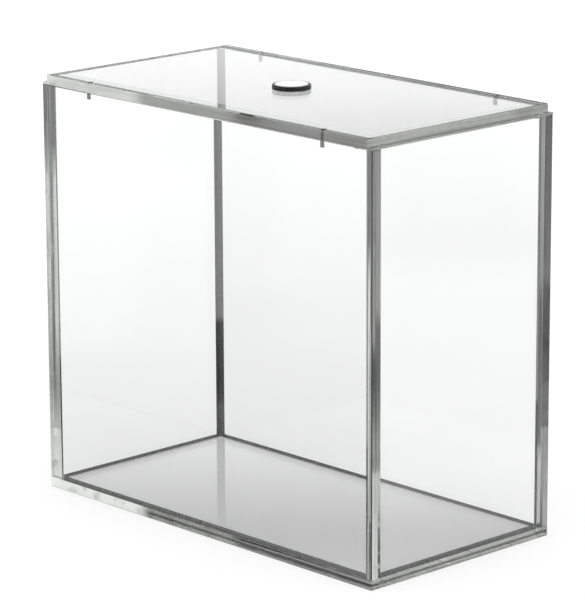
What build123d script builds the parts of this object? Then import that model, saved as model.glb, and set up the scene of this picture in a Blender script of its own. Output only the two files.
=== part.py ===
from build123d import *
import os

# Clear display case for a boxed card set: five clear sheets cemented into an open box,
# and a loose clear lid with a stepped edge, which small magnets hold down.
# Frame: X along the case, Y from front to back, Z up. The origin is the middle of the underside.
# All sizes are in millimetres.

# Box
case_length = 206.0
case_width = 107.0
case_height = 185.0
wall_thickness = 5.0
floor_thickness = 4.5
bond_gap = 0.05
edge_ease = 0.3

# Lid
lid_thickness = 4.5
lid_flange_thickness = 1.0
lid_end_step = 3.0
lid_seat_gap = 0.05

# Magnets: slim cylinders, upright in blind holes, two along each long side
magnet_diameter = 2.0
magnet_length = 3.0
magnet_side_clearance = 0.1
magnet_sink = 0.05
magnet_end_distance = 30.0

# Badge on the lid: a black disc with a plain white inlay
badge_diameter = 17.0
badge_height = 2.0
badge_ease = 0.4
inlay_diameter = 14.4
inlay_thickness = 0.5
inlay_proud = 0.1
inlay_side_clearance = 0.1

# Places worked out from the sizes above
wall_foot = floor_thickness + bond_gap
wall_height = case_height - wall_foot
inner_width = case_width - 2 * wall_thickness
long_panel_y = (case_width - wall_thickness) / 2
end_panel_x = (case_length - wall_thickness) / 2
end_panel_width = inner_width - 2 * bond_gap
lid_underside = case_height + lid_seat_gap
lid_flange_top = lid_underside + lid_flange_thickness
lid_top = lid_underside + lid_thickness
lid_upper_length = case_length - 2 * lid_end_step
magnet_x = case_length / 2 - magnet_end_distance
magnet_y = long_panel_y
magnet_hole_radius = magnet_diameter / 2 + magnet_side_clearance
magnet_hole_depth = magnet_length + magnet_sink
inlay_recess_radius = inlay_diameter / 2 + inlay_side_clearance
inlay_recess_depth = inlay_thickness - inlay_proud
badge_top = lid_top + badge_height

# The two sides of the case, and where the four pairs of magnets stand
SIDES = {"front": -1, "back": 1}
ENDS = {"left": -1, "right": 1}

os.makedirs("parts", exist_ok=True)

# Floor: one full sheet, which the four walls stand on
with BuildPart() as floor_panel:
    with BuildSketch(Plane.XY):
        Rectangle(case_length, case_width)
    extrude(amount=floor_thickness)
    underside_edges = floor_panel.edges().group_by(Axis.Z)[0]
    corner_edges = floor_panel.edges().filter_by(Axis.Z)
    chamfer(underside_edges + corner_edges, length=edge_ease)
floor_panel.part.label = "floor_panel"
export_step(floor_panel.part, "parts/floor_panel.step")

# Front and back walls: full length, with two blind magnet holes in each top edge
for side, y_sign in SIDES.items():
    with BuildPart() as long_panel:
        with BuildSketch(Plane.XY.offset(wall_foot)):
            with Locations((0, y_sign * long_panel_y)):
                Rectangle(case_length, wall_thickness)
        extrude(amount=wall_height)
        rim_edges = long_panel.edges().group_by(Axis.Z)[-1]
        outer_edges = long_panel.edges().filter_by(Axis.Z).sort_by(Axis.Y)
        outer_pair = outer_edges[:2] if y_sign < 0 else outer_edges[-2:]
        chamfer(rim_edges + outer_pair, length=edge_ease)
        with BuildSketch(Plane.XY.offset(case_height)):
            with Locations((-magnet_x, y_sign * magnet_y), (magnet_x, y_sign * magnet_y)):
                Circle(magnet_hole_radius)
        extrude(amount=-magnet_hole_depth, mode=Mode.SUBTRACT)
    long_panel.part.label = f"{side}_panel"
    export_step(long_panel.part, f"parts/{side}_panel.step")

# End walls: they fit between the front and back walls
for end, x_sign in ENDS.items():
    with BuildPart() as end_panel:
        with BuildSketch(Plane.XY.offset(wall_foot)):
            with Locations((x_sign * end_panel_x, 0)):
                Rectangle(wall_thickness, end_panel_width)
        extrude(amount=wall_height)
        rim_edges = end_panel.edges().group_by(Axis.Z)[-1]
        chamfer(rim_edges, length=edge_ease)
    end_panel.part.label = f"{end}_end_panel"
    export_step(end_panel.part, f"parts/{end}_end_panel.step")

# Lid: as large as the box at its foot, with a shallow step cut from the top along each end
with BuildPart() as lid_panel:
    with BuildSketch(Plane.XY.offset(lid_underside)):
        Rectangle(case_length, case_width)
    extrude(amount=lid_flange_thickness)
    with BuildSketch(Plane.XY.offset(lid_flange_top)):
        Rectangle(lid_upper_length, case_width)
    extrude(amount=lid_top - lid_flange_top)
    chamfer(lid_panel.edges().group_by(Axis.Z)[-1], length=edge_ease)
    with BuildSketch(Plane.XY.offset(lid_underside)):
        with GridLocations(2 * magnet_x, 2 * magnet_y, 2, 2):
            Circle(magnet_hole_radius)
    extrude(amount=magnet_hole_depth, mode=Mode.SUBTRACT)
lid_panel.part.label = "lid_panel"
export_step(lid_panel.part, "parts/lid_panel.step")

# Magnets: one in the rim and one above it in the lid, near each corner
for side, y_sign in SIDES.items():
    for end, x_sign in ENDS.items():
        with BuildPart() as rim_magnet:
            with BuildSketch(Plane.XY.offset(case_height - magnet_sink)):
                with Locations((x_sign * magnet_x, y_sign * magnet_y)):
                    Circle(magnet_diameter / 2)
            extrude(amount=-magnet_length)
        rim_magnet.part.label = f"rim_magnet_{side}_{end}"
        export_step(rim_magnet.part, f"parts/rim_magnet_{side}_{end}.step")
        with BuildPart() as lid_magnet:
            with BuildSketch(Plane.XY.offset(lid_underside + magnet_sink)):
                with Locations((x_sign * magnet_x, y_sign * magnet_y)):
                    Circle(magnet_diameter / 2)
            extrude(amount=magnet_length)
        lid_magnet.part.label = f"lid_magnet_{side}_{end}"
        export_step(lid_magnet.part, f"parts/lid_magnet_{side}_{end}.step")

# Badge base: a black disc cemented on the lid, with a shallow recess in its top
with BuildPart() as badge_base:
    with BuildSketch(Plane.XY.offset(lid_top)):
        Circle(badge_diameter / 2)
    extrude(amount=badge_height)
    fillet(badge_base.edges().group_by(Axis.Z)[-1], radius=badge_ease)
    with BuildSketch(Plane.XY.offset(badge_top)):
        Circle(inlay_recess_radius)
    extrude(amount=-inlay_recess_depth, mode=Mode.SUBTRACT)
badge_base.part.label = "badge_base"
export_step(badge_base.part, "parts/badge_base.step")

# Badge inlay: a thin white disc in the recess
with BuildPart() as badge_inlay:
    with BuildSketch(Plane.XY.offset(badge_top - inlay_recess_depth)):
        Circle(inlay_diameter / 2)
    extrude(amount=inlay_thickness)
badge_inlay.part.label = "badge_inlay"
export_step(badge_inlay.part, "parts/badge_inlay.step")
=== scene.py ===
import math
import bmesh
import bpy
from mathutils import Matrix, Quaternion, Vector


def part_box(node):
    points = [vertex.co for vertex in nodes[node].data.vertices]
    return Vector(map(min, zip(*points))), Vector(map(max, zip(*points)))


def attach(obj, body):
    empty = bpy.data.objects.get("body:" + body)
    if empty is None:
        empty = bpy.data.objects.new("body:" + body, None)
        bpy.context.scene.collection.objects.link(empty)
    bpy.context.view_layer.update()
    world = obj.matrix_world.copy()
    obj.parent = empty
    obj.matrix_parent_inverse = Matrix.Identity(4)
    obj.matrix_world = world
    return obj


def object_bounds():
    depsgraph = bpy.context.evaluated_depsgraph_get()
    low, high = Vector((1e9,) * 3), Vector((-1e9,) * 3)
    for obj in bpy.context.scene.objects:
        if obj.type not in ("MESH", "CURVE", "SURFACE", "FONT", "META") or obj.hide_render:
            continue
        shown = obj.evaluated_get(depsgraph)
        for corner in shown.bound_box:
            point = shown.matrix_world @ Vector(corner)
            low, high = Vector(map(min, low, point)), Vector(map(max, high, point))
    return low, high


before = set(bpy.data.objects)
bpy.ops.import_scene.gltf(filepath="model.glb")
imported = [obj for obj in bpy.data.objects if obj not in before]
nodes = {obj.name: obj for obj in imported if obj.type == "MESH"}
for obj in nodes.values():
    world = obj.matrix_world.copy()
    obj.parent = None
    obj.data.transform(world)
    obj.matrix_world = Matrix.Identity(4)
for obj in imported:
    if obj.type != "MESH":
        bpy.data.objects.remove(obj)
cad_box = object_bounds()


# Five sheets of clear cast acrylic are cemented into an open box, and a sixth lies on it as the lid.
# Their faces are as cast, slightly wavy and faintly smudged. Their cut edges are milled, which leaves
# fine lines along them, and are painted grey along those lines, a painted shade. Near the foot at the
# left end they are cloudy with cement and pale with a painted highlight.

# Each sheet has the direction that it is thin along. Sizes are in metres
SHEETS = {
    "floor_panel": (0, 0, 1),
    "lid_panel": (0, 0, 1),
    "front_panel": (0, 1, 0),
    "back_panel": (0, 1, 0),
    "left_end_panel": (1, 0, 0),
    "right_end_panel": (1, 0, 0),
}
ACRYLIC_IOR = 1.49
ACRYLIC_TINT = (0.99, 0.995, 0.992, 1.0)
LIGHT_KEPT = (0.945, 0.945, 0.945, 1.0)
WAVES = 14.0
WAVE_DEPTH = 0.000004
SMUDGES = 22.0
SMUDGE_START = 0.55
SMUDGE_FULL = 0.75
SMUDGE_ROUGHNESS = 0.012
EDGE_TINT = (0.95, 0.96, 0.95, 1.0)
# The grey of the milling lines on the cut edges is a painted shade
EDGE_SHADE = (0.62, 0.64, 0.61, 1.0)
SHADE_START = 0.48
SHADE_FULL = 0.62
LINES_ALONG = 14.0
LINES_ACROSS = 1100.0
LINE_DEPTH = 0.0000035
LINE_ROUGHNESS = 0.05
EDGE_ROUGHNESS = 0.015
LID_EDGE_ROUGHNESS = 0.3
DULL_PATCHES = 70.0
DULL_START = 0.55
DULL_FULL = 0.7
DULL_ROUGHNESS = 0.1
# How much painted shade greys one side of the lid's cut edges, and of the back wall's
LID_EDGE_SHADE = 0.5
BACK_EDGE_SHADE = 0.68
FULL_SHADE_TONE = (0.0, 0.0, 0.0, 1.0)
# A dark line of painted shade along the cut edges at the floor's mid height
SHADE_LINE_HEIGHT = 0.0024
SHADE_LINE_HALF = 0.0003
SHADE_LINE_FADE = 0.0006
SHADE_LINE_TONE = (0.12, 0.12, 0.12, 1.0)
LEFT_FADE_START = -0.045
LEFT_FADE_END = -0.034
CLOUDS = 130.0
CLOUD_START = 0.15
CLOUD_FULL = 0.52
CLOUD_LOW = 0.006
CLOUD_TOP = 0.05
CLOUD_MOST = 0.72
# The pale colour of the cement clouds and of the painted highlight on the left-end cut edges
CLOUD_AND_HIGHLIGHT_COLOR = (0.88, 0.9, 0.87, 1.0)
# How pale the lid's left-end cut edges are painted, a painted highlight
PAINTED_PALE_END = 0.32
FACING = 0.5
BORDER_OVERLAP = 0.003
# A darker tint, a painted shade, on what shows through the lid above the walls
BORDER_SHADE_TINT = (0.87, 0.875, 0.872, 1.0)

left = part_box("left_end_panel")[1][0]
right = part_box("right_end_panel")[0][0]
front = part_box("front_panel")[1][1]
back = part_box("back_panel")[0][1]
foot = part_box("floor_panel")[1][2]
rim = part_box("front_panel")[1][2]


def calc(tree, operation, *values):
    """A maths node whose inputs are sockets or plain numbers."""
    node = tree.nodes.new("ShaderNodeMath")
    node.operation = operation
    for socket, value in zip(node.inputs, values):
        if isinstance(value, (int, float)):
            socket.default_value = value
        else:
            tree.links.new(value, socket)
    return node.outputs[0]


def toward(tree, direction, side):
    """How far a direction or a place lies to that side, which is a socket or a plain vector."""
    node = tree.nodes.new("ShaderNodeVectorMath")
    node.operation = "DOT_PRODUCT"
    tree.links.new(direction, node.inputs[0])
    if isinstance(side, tuple):
        node.inputs[1].default_value = side
    else:
        tree.links.new(side, node.inputs[1])
    return node.outputs["Value"]


def noise(tree, place, scale, detail):
    """Soft noise from 0 to 1, with its scale in marks a metre."""
    node = tree.nodes.new("ShaderNodeTexNoise")
    node.inputs["Scale"].default_value = scale
    node.inputs["Detail"].default_value = detail
    tree.links.new(place, node.inputs["Vector"])
    return node.outputs["Fac"]


def rise(tree, value, start, full):
    """0 up to the start, 1 from full on, and smooth between them."""
    node = tree.nodes.new("ShaderNodeMapRange")
    node.interpolation_type = "SMOOTHSTEP"
    node.inputs["From Min"].default_value = start
    node.inputs["From Max"].default_value = full
    tree.links.new(value, node.inputs["Value"])
    return node.outputs["Result"]


def mix(tree, factor, first, second):
    """A colour mix whose colours are sockets or plain colours."""
    node = tree.nodes.new("ShaderNodeMix")
    node.data_type = "RGBA"
    # The node has sockets for several kinds of value: its colours are inputs 6 and 7 and output 2
    tree.links.new(factor, node.inputs[0])
    for socket, value in ((node.inputs[6], first), (node.inputs[7], second)):
        if isinstance(value, tuple):
            socket.default_value = value
        else:
            tree.links.new(value, socket)
    return node.outputs[2]


def split_place(tree, spot):
    """The X, Y and Z of a place."""
    node = tree.nodes.new("ShaderNodeSeparateXYZ")
    tree.links.new(spot, node.inputs[0])
    return node.outputs


def new_finish(name):
    """A new material, with its node tree and its Principled shader."""
    finish = bpy.data.materials.new(name)
    finish.use_nodes = True
    return finish, finish.node_tree, finish.node_tree.nodes["Principled BSDF"]


def raise_surface(tree, shader, height, depth):
    """Raises the surface by the depth where the height is 1."""
    bump = tree.nodes.new("ShaderNodeBump")
    bump.inputs["Distance"].default_value = depth
    tree.links.new(height, bump.inputs["Height"])
    tree.links.new(bump.outputs[0], shader.inputs["Normal"])


def cover(piece, finish):
    """Gives a piece this finish alone."""
    piece.data.materials.clear()
    piece.data.materials.append(finish)


MARK_SETTINGS = {
    "Thin Axis": "NodeSocketVector",
    "Edge Roughness": "NodeSocketFloat",
    "Shade Side": "NodeSocketVector",
    "Grey": "NodeSocketFloat",
}
MARK_RESULTS = {
    "Tint": "NodeSocketColor",
    "Roughness": "NodeSocketFloat",
    "Height": "NodeSocketFloat",
}

# What every sheet shows on its faces and cut edges: a tint, which holds painted shade on the edges, a
# roughness and a height
sheet_marks = bpy.data.node_groups.new("sheet_marks", "ShaderNodeTree")
for name, kind in MARK_SETTINGS.items():
    sheet_marks.interface.new_socket(name, in_out="INPUT", socket_type=kind)
for name, kind in MARK_RESULTS.items():
    sheet_marks.interface.new_socket(name, in_out="OUTPUT", socket_type=kind)
tree = sheet_marks
given = tree.nodes.new("NodeGroupInput").outputs
result = tree.nodes.new("NodeGroupOutput").inputs
place = tree.nodes.new("ShaderNodeTexCoord")
spot = place.outputs["Object"]
normal = place.outputs["Normal"]
flatness = calc(tree, "ABSOLUTE", toward(tree, normal, given["Thin Axis"]))
on_edge = calc(tree, "LESS_THAN", flatness, FACING)
on_face = calc(tree, "SUBTRACT", 1.0, on_edge)
xyz = split_place(tree, spot)
past_left = rise(tree, xyz["X"], LEFT_FADE_START, LEFT_FADE_END)

# The milling lines are noise drawn out along the edge and packed close across the sheet
stretch = tree.nodes.new("ShaderNodeVectorMath")
stretch.operation = "MULTIPLY_ADD"
stretch.inputs[1].default_value = (LINES_ACROSS - LINES_ALONG,) * 3
stretch.inputs[2].default_value = (LINES_ALONG,) * 3
tree.links.new(given["Thin Axis"], stretch.inputs[0])
stretched = tree.nodes.new("ShaderNodeVectorMath")
stretched.operation = "MULTIPLY"
tree.links.new(spot, stretched.inputs[0])
tree.links.new(stretch.outputs[0], stretched.inputs[1])
lines = noise(tree, stretched.outputs[0], scale=1.0, detail=2.0)
# The lines grey the cut edges: they are milling lines, and their grey is a painted shade
painted_line_shade = mix(tree, rise(tree, lines, SHADE_START, SHADE_FULL), EDGE_TINT, EDGE_SHADE)

# Right of the left end, one side of a sheet can be greyer, a painted shade, and the floor's edges have a
# dark line of painted shade
on_shade_side = calc(tree, "GREATER_THAN", toward(tree, normal, given["Shade Side"]), FACING)
shade_part = calc(tree, "MULTIPLY", on_shade_side, past_left)
side_tone = mix(tree, calc(tree, "MULTIPLY", shade_part, given["Grey"]), painted_line_shade, FULL_SHADE_TONE)
# The dark line at the floor's mid height, right of the left end, is painted shade
from_line = calc(tree, "ABSOLUTE", calc(tree, "SUBTRACT", xyz["Z"], SHADE_LINE_HEIGHT))
off_line = rise(tree, from_line, SHADE_LINE_HALF, SHADE_LINE_HALF + SHADE_LINE_FADE)
painted_shade_line = calc(tree, "MULTIPLY", calc(tree, "SUBTRACT", 1.0, off_line), past_left)
edge_tone = mix(tree, painted_shade_line, side_tone, SHADE_LINE_TONE)
tree.links.new(mix(tree, on_edge, ACRYLIC_TINT, edge_tone), result["Tint"])

# The edges are duller along the lines and in patches, and the faces where they are smudged
dull = rise(tree, noise(tree, spot, DULL_PATCHES, detail=3.0), DULL_START, DULL_FULL)
line_gloss = calc(tree, "MULTIPLY_ADD", lines, LINE_ROUGHNESS, given["Edge Roughness"])
edge_gloss = calc(tree, "MULTIPLY_ADD", dull, DULL_ROUGHNESS, line_gloss)
smudge = rise(tree, noise(tree, spot, SMUDGES, detail=5.0), SMUDGE_START, SMUDGE_FULL)
face_gloss = calc(tree, "MULTIPLY", calc(tree, "MULTIPLY", smudge, on_face), SMUDGE_ROUGHNESS)
tree.links.new(calc(tree, "MULTIPLY_ADD", edge_gloss, on_edge, face_gloss), result["Roughness"])

# Heights are in metres: the lines on the edges and the slow waves on the faces
line_height = calc(tree, "MULTIPLY", calc(tree, "MULTIPLY", lines, on_edge), LINE_DEPTH)
waves = calc(tree, "MULTIPLY", noise(tree, spot, WAVES, detail=1.0), on_face)
tree.links.new(calc(tree, "MULTIPLY_ADD", waves, WAVE_DEPTH, line_height), result["Height"])


def edge_cloud_and_highlight(tree, axis, painted_pale_end):
    """How pale the upright cut edges are at the left end: cloudy with cement near the foot, which is
    partly a painted highlight, and by the pale end given, a painted highlight.
    """
    place = tree.nodes.new("ShaderNodeTexCoord")
    spot = place.outputs["Object"]
    normal = place.outputs["Normal"]
    flatness = calc(tree, "ABSOLUTE", toward(tree, normal, axis))
    levelness = calc(tree, "ABSOLUTE", toward(tree, normal, (0, 0, 1)))
    upright_edge = calc(tree, "LESS_THAN", calc(tree, "MAXIMUM", flatness, levelness), FACING)
    xyz = split_place(tree, spot)
    past_left = rise(tree, xyz["X"], LEFT_FADE_START, LEFT_FADE_END)
    at_left = calc(tree, "MULTIPLY", upright_edge, calc(tree, "SUBTRACT", 1.0, past_left))
    at_foot = calc(tree, "SUBTRACT", 1.0, rise(tree, xyz["Z"], CLOUD_LOW, CLOUD_TOP))
    amount = calc(tree, "MULTIPLY_ADD", at_foot, CLOUD_MOST, painted_pale_end)
    clouds = rise(tree, noise(tree, spot, CLOUDS, detail=2.0), CLOUD_START, CLOUD_FULL)
    return calc(tree, "MULTIPLY", calc(tree, "MULTIPLY", clouds, amount), at_left)


def acrylic(name, axis, edge_roughness=EDGE_ROUGHNESS, shade_side=(0, 0, 0), grey=0.0, painted_pale_end=0.0):
    """Clear acrylic for a sheet that is thin along the axis, with marks and painted shade on its cut
    edges.
    """
    finish, tree, shader = new_finish(name)
    link = tree.links.new
    shader.inputs["IOR"].default_value = ACRYLIC_IOR
    shader.inputs["Transmission Weight"].default_value = 1.0
    marks = tree.nodes.new("ShaderNodeGroup")
    marks.node_tree = sheet_marks
    marks.inputs["Thin Axis"].default_value = axis
    marks.inputs["Edge Roughness"].default_value = edge_roughness
    marks.inputs["Shade Side"].default_value = shade_side
    marks.inputs["Grey"].default_value = grey
    link(marks.outputs["Tint"], shader.inputs["Base Color"])
    link(marks.outputs["Roughness"], shader.inputs["Roughness"])
    raise_surface(tree, shader, marks.outputs["Height"], depth=1.0)
    # A cloudy stretch of a cut edge is pale and hides the clear acrylic: cement clouds that are partly a
    # painted highlight, and a painted highlight at the lid's left end
    cloud_and_highlight = tree.nodes.new("ShaderNodeBsdfDiffuse")
    cloud_and_highlight.inputs["Color"].default_value = CLOUD_AND_HIGHLIGHT_COLOR
    surface = tree.nodes.new("ShaderNodeMixShader")
    link(edge_cloud_and_highlight(tree, axis, painted_pale_end), surface.inputs[0])
    link(shader.outputs[0], surface.inputs[1])
    link(cloud_and_highlight.outputs[0], surface.inputs[2])
    # Light on its way to the floor passes almost unchanged, so the floor under the case stays pale
    passing = tree.nodes.new("ShaderNodeBsdfTransparent")
    passing.inputs["Color"].default_value = LIGHT_KEPT
    path = tree.nodes.new("ShaderNodeLightPath")
    lighting = calc(tree, "MAXIMUM", path.outputs["Is Shadow Ray"], path.outputs["Is Diffuse Ray"])
    choice = tree.nodes.new("ShaderNodeMixShader")
    link(lighting, choice.inputs[0])
    link(surface.outputs[0], choice.inputs[1])
    link(passing.outputs[0], choice.inputs[2])
    link(choice.outputs[0], tree.nodes["Material Output"].inputs["Surface"])
    return finish


def clear_border(finish):
    """Leaves the mirror image off the lid's top above the walls, so that their rims show through, tinted
    a little darker there, a painted shade.
    """
    tree = finish.node_tree
    shader = tree.nodes["Principled BSDF"]
    onward = shader.outputs[0].links[0].to_socket
    place = tree.nodes.new("ShaderNodeTexCoord")
    xyz = split_place(tree, place.outputs["Object"])
    past_end = calc(tree, "GREATER_THAN", calc(tree, "ABSOLUTE", xyz["X"]), right - BORDER_OVERLAP)
    past_side = calc(tree, "GREATER_THAN", calc(tree, "ABSOLUTE", xyz["Y"]), back - BORDER_OVERLAP)
    on_top = calc(tree, "GREATER_THAN", toward(tree, place.outputs["Normal"], (0, 0, 1)), FACING)
    seen = tree.nodes.new("ShaderNodeNewGeometry")
    from_outside = calc(tree, "SUBTRACT", on_top, seen.outputs["Backfacing"])
    border = calc(tree, "MULTIPLY", calc(tree, "MAXIMUM", past_end, past_side), from_outside)
    passing = tree.nodes.new("ShaderNodeBsdfRefraction")
    passing.inputs["IOR"].default_value = ACRYLIC_IOR
    passing.inputs["Roughness"].default_value = EDGE_ROUGHNESS
    passing.inputs["Color"].default_value = BORDER_SHADE_TINT
    both = tree.nodes.new("ShaderNodeMixShader")
    tree.links.new(border, both.inputs[0])
    tree.links.new(shader.outputs[0], both.inputs[1])
    tree.links.new(passing.outputs[0], both.inputs[2])
    tree.links.new(both.outputs[0], onward)


# The lid's cut edges are satin, with painted shade along its front and a painted highlight at its left
# end, and the back wall's right edge has painted shade
for name, axis in SHEETS.items():
    if name == "lid_panel":
        finish = acrylic(
            "acrylic_" + name, axis, edge_roughness=LID_EDGE_ROUGHNESS,
            shade_side=(0, -1, 0), grey=LID_EDGE_SHADE, painted_pale_end=PAINTED_PALE_END,
        )
        clear_border(finish)
    elif name == "back_panel":
        finish = acrylic("acrylic_" + name, axis, shade_side=(1, 0, 0), grey=BACK_EDGE_SHADE)
    else:
        finish = acrylic("acrylic_" + name, axis)
    cover(nodes[name], finish)


# The sheets are joined with solvent cement, which creeps out of each joint into a slim hollow bead
# along the inside corner. The beads are painted dark grey, darkest low down, a painted shade that
# stands for the grey lines in the inside corners, the widest one in the far left corner.
BEAD_RADIUS = 0.0012
UPRIGHT_BEAD_RADIUS = 0.0008
WIDE_BEAD_RADIUS = 0.0027
BEAD_TOP = 0.0004
BEAD_GAP = 0.00002
BEAD_STEPS = 5
# The beads' painted shade by height, from nearly black low down to mid grey above
BEAD_SHADE_STOPS = ((0.0, 0.1), (0.1, 0.1), (0.14, 0.035), (0.32, 0.04), (0.34, 0.25), (1.0, 0.27))
BEAD_ALPHA = 0.8
BEAD_GRAIN = 500.0
BEAD_GRAIN_DEPTH = 0.00003
BEAD_GRAIN_ROUGHNESS = 0.3
BEAD_ROUGHNESS = 0.1


def grey_ramp(tree, stops):
    """A colour ramp of greys from (position, level) pairs."""
    ramp = tree.nodes.new("ShaderNodeValToRGB")
    # A new stop is put in the middle first, and moved to its own position below
    while len(ramp.color_ramp.elements) < len(stops):
        ramp.color_ramp.elements.new(0.5)
    for element, (position, level) in zip(ramp.color_ramp.elements, stops):
        element.position = position
        element.color = (level, level, level, 1.0)
    return ramp


def add_bead(bm, radius, corner, across, along, run):
    """A hollow-faced bead in the corner, between two walls, for the length of the run."""
    corner, across, along = Vector(corner), Vector(across), Vector(along)
    profile = [bm.verts.new(corner + BEAD_GAP * (across + along))]
    reach = radius - BEAD_GAP
    # The face is a quarter circle that curves in towards the corner
    for step in range(BEAD_STEPS + 1):
        turn = math.radians(270 - 90 * step / BEAD_STEPS)
        a = radius + reach * math.cos(turn)
        b = radius + reach * math.sin(turn)
        profile.append(bm.verts.new(corner + a * across + b * along))
    end = bm.faces.new(profile)
    pulled = bmesh.ops.extrude_face_region(bm, geom=[end], use_keep_orig=True)
    moved = [item for item in pulled["geom"] if isinstance(item, bmesh.types.BMVert)]
    bmesh.ops.translate(bm, verts=moved, vec=run)


bm = bmesh.new()
for x, x_in in ((left, 1), (right, -1)):
    for y, y_in in ((front, 1), (back, -1)):
        corner = (x, y, foot + BEAD_GAP)
        run = (0, 0, rim - foot - BEAD_TOP)
        radius = WIDE_BEAD_RADIUS if (x, y) == (left, back) else UPRIGHT_BEAD_RADIUS
        add_bead(bm, radius, corner, (x_in, 0, 0), (0, y_in, 0), run)
inner_length = right - left - 2 * BEAD_RADIUS
inner_width = back - front - 2 * BEAD_RADIUS
for y, y_in in ((front, 1), (back, -1)):
    corner = (left + BEAD_RADIUS, y, foot)
    add_bead(bm, BEAD_RADIUS, corner, (0, y_in, 0), (0, 0, 1), (inner_length, 0, 0))
for x, x_in in ((left, 1), (right, -1)):
    corner = (x, front + BEAD_RADIUS, foot)
    add_bead(bm, BEAD_RADIUS, corner, (x_in, 0, 0), (0, 0, 1), (0, inner_width, 0))
bmesh.ops.recalc_face_normals(bm, faces=bm.faces)
bead_mesh = bpy.data.meshes.new("cement_shade_beads")
bm.to_mesh(bead_mesh)
bm.free()
beads = bpy.data.objects.new("cement_shade_beads", bead_mesh)
bpy.context.scene.collection.objects.link(beads)
cement, tree, shader = new_finish("cement_painted_shade")
bead_mesh.materials.append(cement)
shader.inputs["Alpha"].default_value = BEAD_ALPHA
spot = tree.nodes.new("ShaderNodeTexCoord").outputs["Object"]
bead_grain = noise(tree, spot, BEAD_GRAIN, detail=3.0)
# The beads' colour is painted shade: nearly black in the lower third of the walls' height, mid grey
# above
tone = grey_ramp(tree, BEAD_SHADE_STOPS)
tree.links.new(calc(tree, "DIVIDE", split_place(tree, spot)["Z"], rim), tone.inputs["Fac"])
tree.links.new(tone.outputs["Color"], shader.inputs["Base Color"])
bead_gloss = calc(tree, "MULTIPLY_ADD", bead_grain, BEAD_GRAIN_ROUGHNESS, BEAD_ROUGHNESS)
tree.links.new(bead_gloss, shader.inputs["Roughness"])
raise_surface(tree, shader, bead_grain, BEAD_GRAIN_DEPTH)
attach(beads, "case")


# The eight magnets are slim nickel-plated cylinders, sunk upright in the rim and the lid. Only
# their sides show, through the edge of the acrylic. The plating is bright, with fine scuffs.
NICKEL_BRIGHT = (0.78, 0.76, 0.73, 1.0)
NICKEL_DULL = (0.55, 0.54, 0.52, 1.0)
NICKEL_ROUGHNESS = 0.15
SCUFFS = 900.0
SCUFF_DEPTH = 0.00002
SCUFF_ROUGHNESS = 0.3

nickel, tree, shader = new_finish("magnet_nickel")
shader.inputs["Metallic"].default_value = 1.0
spot = tree.nodes.new("ShaderNodeTexCoord").outputs["Object"]
scuffs = noise(tree, spot, SCUFFS, detail=4.0)
tree.links.new(mix(tree, scuffs, NICKEL_BRIGHT, NICKEL_DULL), shader.inputs["Base Color"])
nickel_gloss = calc(tree, "MULTIPLY_ADD", scuffs, SCUFF_ROUGHNESS, NICKEL_ROUGHNESS)
tree.links.new(nickel_gloss, shader.inputs["Roughness"])
raise_surface(tree, shader, scuffs, SCUFF_DEPTH)
for name, node in nodes.items():
    if "magnet" in name:
        cover(node, nickel)


# The badge in the middle of the lid is a black disc with a plain white top let into it. Both are
# moulded plastic with a faint grain, and the black one has a soft edge and is glued to the lid.
BADGE_BLACK = (0.008, 0.008, 0.008, 1.0)
WORN_BLACK = (0.02, 0.02, 0.021, 1.0)
BADGE_WHITE = (0.86, 0.86, 0.85, 1.0)
WORN_WHITE = (0.78, 0.78, 0.77, 1.0)
BADGE_ROUGHNESS = 0.24
BADGE_GRAIN = 1600.0
BADGE_GRAIN_DEPTH = 0.00002
HANDLING = 160.0
HANDLING_START = 0.45
HANDLING_FULL = 0.7
HANDLING_ROUGHNESS = 0.2


def moulded(name, color, worn_color):
    """Moulded plastic with a fine grain and a few patches dulled by handling."""
    finish, tree, shader = new_finish(name)
    spot = tree.nodes.new("ShaderNodeTexCoord").outputs["Object"]
    grain = noise(tree, spot, BADGE_GRAIN, detail=3.0)
    handled = rise(tree, noise(tree, spot, HANDLING, detail=4.0), HANDLING_START, HANDLING_FULL)
    tree.links.new(mix(tree, handled, color, worn_color), shader.inputs["Base Color"])
    gloss = calc(tree, "MULTIPLY_ADD", handled, HANDLING_ROUGHNESS, BADGE_ROUGHNESS)
    tree.links.new(gloss, shader.inputs["Roughness"])
    raise_surface(tree, shader, grain, BADGE_GRAIN_DEPTH)
    return finish


cover(nodes["badge_base"], moulded("badge_black", BADGE_BLACK, WORN_BLACK))
cover(nodes["badge_inlay"], moulded("badge_white", BADGE_WHITE, WORN_WHITE))


# The studio: a wide pale floor, a pale sky and a soft lamp light the case. Near the case the floor is
# painted a little darker, a painted shade. Mirrored light sees a room of its own, with a bright side, a
# dark side, a graded backdrop, and a floor painted with a bright patch and a darker lane, which are
# painted reflections. This room is what turns the cut edges into grey bands.
FLOOR_HALF = 40.0
FLOOR_DROP = 0.0002
# The floor's tone near the case is a painted shade, and far off it is plain pale
FLOOR_TONE = (0.84, 0.84, 0.84, 1.0)
FAR_FLOOR_TONE = (0.96, 0.96, 0.96, 1.0)
FLOOR_TONE_START = 0.25
FLOOR_TONE_FULL = 1.0
HALF_A_BOUNCE = 0.5
BRIGHT_SIDE = (0.726, 0.688, 0.0)
BACKDROP_SIDE = (-0.726, 0.688, 0.0)
BACKDROP_START = 0.75
BACKDROP_FULL = 0.9
BACKDROP_STOPS = (
    (0.0, 1.0), (0.176, 1.0), (0.186, 0.82), (0.2, 0.5),
    (0.24, 1.1), (0.28, 1.15), (0.307, 0.02), (0.5, 0.4),
)
ROOM_STOPS = ((0.0, 0.85), (0.3, 0.3), (0.5, 0.3), (0.85, 0.7))
CEILING_TONE = (1.0, 1.0, 1.0, 1.0)
CEILING_START = 0.35
CEILING_FULL = 0.7
TABLE_RADIUS = 0.32
TABLE_FADE = 0.06
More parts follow.
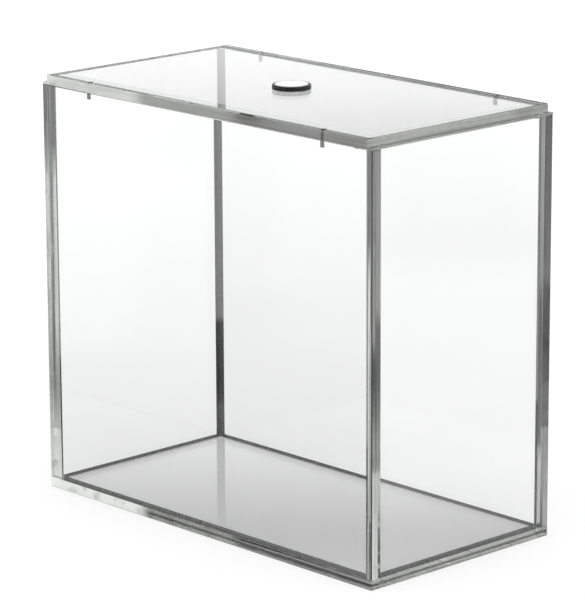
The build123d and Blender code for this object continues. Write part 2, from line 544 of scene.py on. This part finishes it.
NEAR_STOPS = ((0.0, 0.05), (0.35, 0.1), (0.6, 0.3))
FAR_TONE = (0.24, 0.24, 0.24, 1.0)
LANE_TONE = (0.1, 0.1, 0.1, 1.0)
LANE_ACROSS = (-0.688, 0.726, 0.0)
LANE_PLACE = -0.028
LANE_HALF = 0.025
LANE_FADE = 0.03
PATCH_START = 0.6
PATCH_FULL = 0.85
PATCH_STOPS = ((0.0, 0.12), (0.1, 0.3), (0.22, 0.58), (0.56, 0.6), (0.66, 0.14), (1.0, 0.14))
SKY_STOPS = ((0.0, 1.0), (0.3, 0.9), (1.0, 0.5))
SUN_STRENGTH = 1.9
SUN_SPREAD = math.radians(70)
SUN_TILT = (math.radians(15), math.radians(10), 0)
BOUNCES = 32


def mirrored_light(tree):
    """A value that is 1 for light that something has mirrored, and 0 for the rest."""
    path = tree.nodes.new("ShaderNodeLightPath")
    return calc(tree, "GREATER_THAN", path.outputs["Glossy Depth"], HALF_A_BOUNCE)


def brightness_side(tree, direction):
    """From 0 on the dark side of the room to 1 on its bright side."""
    return calc(tree, "MULTIPLY_ADD", toward(tree, direction, BRIGHT_SIDE), 0.5, 0.5)


ground_mesh = bpy.data.meshes.new("studio_floor")
bm = bmesh.new()
bmesh.ops.create_grid(bm, x_segments=1, y_segments=1, size=FLOOR_HALF)
bmesh.ops.translate(bm, verts=bm.verts, vec=(0, 0, -FLOOR_DROP))
bm.to_mesh(ground_mesh)
bm.free()
ground = bpy.data.objects.new("studio_floor", ground_mesh)
bpy.context.scene.collection.objects.link(ground)
pale, tree, shader = new_finish("studio_floor")
ground_mesh.materials.append(pale)
shader.inputs["Roughness"].default_value = 1.0
shader.inputs["Specular IOR Level"].default_value = 0.0
spot = tree.nodes.new("ShaderNodeTexCoord").outputs["Object"]
outward = tree.nodes.new("ShaderNodeVectorMath")
outward.operation = "NORMALIZE"
tree.links.new(spot, outward.inputs[0])
side = brightness_side(tree, outward.outputs[0])
length = tree.nodes.new("ShaderNodeVectorMath")
length.operation = "LENGTH"
tree.links.new(spot, length.inputs[0])
reach = length.outputs["Value"]
# Seen by mirrored light only, the floor is painted as a room: a painted reflection of a dark side, a
# darker lane and a bright patch
near_tone = grey_ramp(tree, NEAR_STOPS)
tree.links.new(side, near_tone.inputs["Fac"])
across_lane = calc(tree, "SUBTRACT", toward(tree, spot, LANE_ACROSS), LANE_PLACE)
off_lane = rise(tree, calc(tree, "ABSOLUTE", across_lane), LANE_HALF, LANE_HALF + LANE_FADE)
far_tone = mix(tree, off_lane, LANE_TONE, FAR_TONE)
beyond = rise(tree, reach, TABLE_RADIUS, TABLE_RADIUS + TABLE_FADE)
painted_dark_reflection = mix(tree, beyond, near_tone.outputs["Color"], far_tone)
patch_tone = grey_ramp(tree, PATCH_STOPS)
tree.links.new(reach, patch_tone.inputs["Fac"])
on_patch = rise(tree, side, PATCH_START, PATCH_FULL)
painted_reflection_floor = mix(tree, on_patch, painted_dark_reflection, patch_tone.outputs["Color"])
# Near the case the floor is painted darker, a painted shade, which lifts to the far tone a metre out
far_away = rise(tree, reach, FLOOR_TONE_START, FLOOR_TONE_FULL)
pale_floor_and_shade = mix(tree, far_away, FLOOR_TONE, FAR_FLOOR_TONE)
tree.links.new(mix(tree, mirrored_light(tree), pale_floor_and_shade, painted_reflection_floor), shader.inputs["Base Color"])

world = bpy.data.worlds.new("studio")
bpy.context.scene.world = world
world.use_nodes = True
tree = world.node_tree
direction = tree.nodes.new("ShaderNodeTexCoord").outputs["Generated"]
upward = split_place(tree, direction)["Z"]
room = grey_ramp(tree, ROOM_STOPS)
tree.links.new(brightness_side(tree, direction), room.inputs["Fac"])
ceiling = rise(tree, upward, CEILING_START, CEILING_FULL)
walls = mix(tree, ceiling, room.outputs["Color"], CEILING_TONE)
backdrop = grey_ramp(tree, BACKDROP_STOPS)
tree.links.new(upward, backdrop.inputs["Fac"])
behind = rise(tree, toward(tree, direction, BACKDROP_SIDE), BACKDROP_START, BACKDROP_FULL)
room_sky = mix(tree, behind, walls, backdrop.outputs["Color"])
sky = grey_ramp(tree, SKY_STOPS)
tree.links.new(upward, sky.inputs["Fac"])
light = mix(tree, mirrored_light(tree), sky.outputs["Color"], room_sky)
tree.links.new(light, tree.nodes["Background"].inputs["Color"])

sun_data = bpy.data.lights.new("soft_key", "SUN")
sun_data.energy = SUN_STRENGTH
sun_data.angle = SUN_SPREAD
sun = bpy.data.objects.new("soft_key", sun_data)
sun.rotation_euler = SUN_TILT
sun.visible_glossy = False
sun.visible_transmission = False
bpy.context.scene.collection.objects.link(sun)

cycles = bpy.context.scene.cycles
cycles.max_bounces = BOUNCES
cycles.transmission_bounces = BOUNCES
cycles.glossy_bounces = BOUNCES
cycles.transparent_max_bounces = BOUNCES
cycles.caustics_refractive = False
cycles.caustics_reflective = False
cycles.use_denoising = True
bpy.context.scene.view_settings.view_transform = "Standard"


# The camera stands in front and to the right of the case, a little above it. Its lens is long, so
# the upright edges stay nearly parallel.
CAMERA_AZIMUTH = math.radians(46.55)
CAMERA_ELEVATION = math.radians(14.1)
CAMERA_ROLL = math.radians(-0.25)
CAMERA_DISTANCE = 1.533
CAMERA_LENS_MM = 211.0
SENSOR_MM = 36.0

low, high = cad_box
aim = (low + high) / 2
away = Vector((
    math.sin(CAMERA_AZIMUTH) * math.cos(CAMERA_ELEVATION),
    -math.cos(CAMERA_AZIMUTH) * math.cos(CAMERA_ELEVATION),
    math.sin(CAMERA_ELEVATION),
))
camera_data = bpy.data.cameras.new("camera")
camera_data.sensor_width = SENSOR_MM
camera_data.lens = CAMERA_LENS_MM
camera = bpy.data.objects.new("camera", camera_data)
camera.location = aim + CAMERA_DISTANCE * away
level = (-away).to_track_quat("-Z", "Y")
camera.rotation_euler = (level @ Quaternion((0, 0, 1), CAMERA_ROLL)).to_euler()
bpy.context.scene.collection.objects.link(camera)
bpy.context.scene.camera = camera
